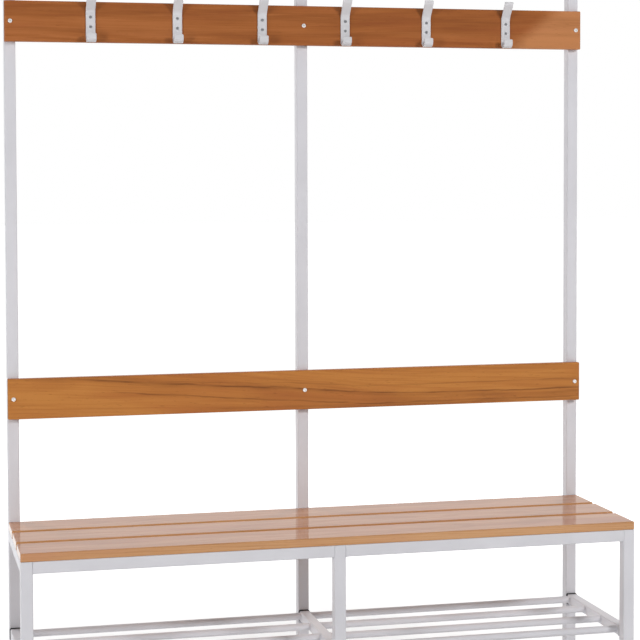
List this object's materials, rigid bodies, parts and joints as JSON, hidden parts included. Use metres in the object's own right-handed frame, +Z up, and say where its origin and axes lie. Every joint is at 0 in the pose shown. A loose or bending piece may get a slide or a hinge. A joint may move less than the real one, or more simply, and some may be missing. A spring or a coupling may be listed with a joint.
{
  "type": "changing room bench",
  "caption": "One-sided changing room bench: slatted wooden seat on a square tube frame, with a backrest board, a board of double coat hooks above it and a tubular shoe rack below.",
  "frame": {"origin": "on the floor, under the middle of the bench's length and depth", "axes": "+X along the bench to the right of a person who faces it, +Y from the front of the seat to the back, +Z up"},
  "size_m": [1.5, 0.414, 1.8],
  "materials": {
    "powder_coat": "light grey satin powder coat",
    "hook_coat": "light grey satin powder coat",
    "seat_wood": "steamed beech, clear gloss lacquer",
    "backrest_wood": "golden brown wood, clear satin lacquer",
    "hook_board_wood": "reddish brown wood, clear satin lacquer",
    "zinc_steel": "bright zinc plate",
    "black_plastic": "moulded, fine texture",
    "grey_plastic": "moulded, fine texture",
    "foot_plastic": "moulded pad on a zinc plated stud"
  },
  "bodies": {
    "bench_frame": {"backrest_board": "backrest_wood", "bearer_inserts": "zinc_steel", "board_bolts": "zinc_steel", "coat_hook_1": "hook_coat", "coat_hook_2": "hook_coat", "coat_hook_3": "hook_coat", "coat_hook_4": "hook_coat", "coat_hook_5": "hook_coat", "coat_hook_6": "hook_coat", "foot_inserts": "grey_plastic", "frame_bolts": "zinc_steel", "front_leg_left": "powder_coat", "front_leg_middle": "powder_coat", "front_leg_right": "powder_coat", "front_rail_left": "powder_coat", "front_rail_right": "powder_coat", "hook_board": "hook_board_wood", "hook_screws": "zinc_steel", "rack_bar_left_1": "powder_coat", "rack_bar_left_2": "powder_coat", "rack_bar_left_3": "powder_coat", "rack_bar_left_4": "powder_coat", "rack_bar_right_1": "powder_coat", "rack_bar_right_2": "powder_coat", "rack_bar_right_3": "powder_coat", "rack_bar_right_4": "powder_coat", "rack_cross_tube_left": "powder_coat", "rack_cross_tube_middle": "powder_coat", "rack_cross_tube_right": "powder_coat", "rack_end_plugs_front": "grey_plastic", "rack_end_plugs_rear": "black_plastic", "rack_pins_front": "zinc_steel", "rack_pins_rear": "zinc_steel", "rear_rail_left": "powder_coat", "rear_rail_right": "powder_coat", "rivet_nuts": "zinc_steel", "seat_bearer_left": "powder_coat", "seat_bearer_middle": "powder_coat", "seat_bearer_right": "powder_coat", "seat_screws": "zinc_steel", "seat_slat_front": "seat_wood", "seat_slat_middle": "seat_wood", "seat_slat_rear": "seat_wood", "upright_cap_left": "grey_plastic", "upright_cap_middle": "grey_plastic", "upright_cap_right": "grey_plastic", "upright_left": "powder_coat", "upright_middle": "powder_coat", "upright_right": "powder_coat"},
    "levelling_foot_front_left": {"foot_front_left": "foot_plastic"},
    "levelling_foot_front_middle": {"foot_front_middle": "foot_plastic"},
    "levelling_foot_front_right": {"foot_front_right": "foot_plastic"},
    "levelling_foot_rear_left": {"foot_rear_left": "foot_plastic"},
    "levelling_foot_rear_middle": {"foot_rear_middle": "foot_plastic"},
    "levelling_foot_rear_right": {"foot_rear_right": "foot_plastic"}
  },
  "joints": [
    {"name": "level_front_left", "type": "slide", "parent": "bench_frame", "child": "levelling_foot_front_left", "axis": [0, 0, -1], "range_m": [0, 0.012]},
    {"name": "level_front_middle", "type": "slide", "parent": "bench_frame", "child": "levelling_foot_front_middle", "axis": [0, 0, -1], "range_m": [0, 0.012]},
    {"name": "level_front_right", "type": "slide", "parent": "bench_frame", "child": "levelling_foot_front_right", "axis": [0, 0, -1], "range_m": [0, 0.012]},
    {"name": "level_rear_left", "type": "slide", "parent": "bench_frame", "child": "levelling_foot_rear_left", "axis": [0, 0, -1], "range_m": [0, 0.012]},
    {"name": "level_rear_middle", "type": "slide", "parent": "bench_frame", "child": "levelling_foot_rear_middle", "axis": [0, 0, -1], "range_m": [0, 0.012]},
    {"name": "level_rear_right", "type": "slide", "parent": "bench_frame", "child": "levelling_foot_rear_right", "axis": [0, 0, -1], "range_m": [0, 0.012]}
  ]
}
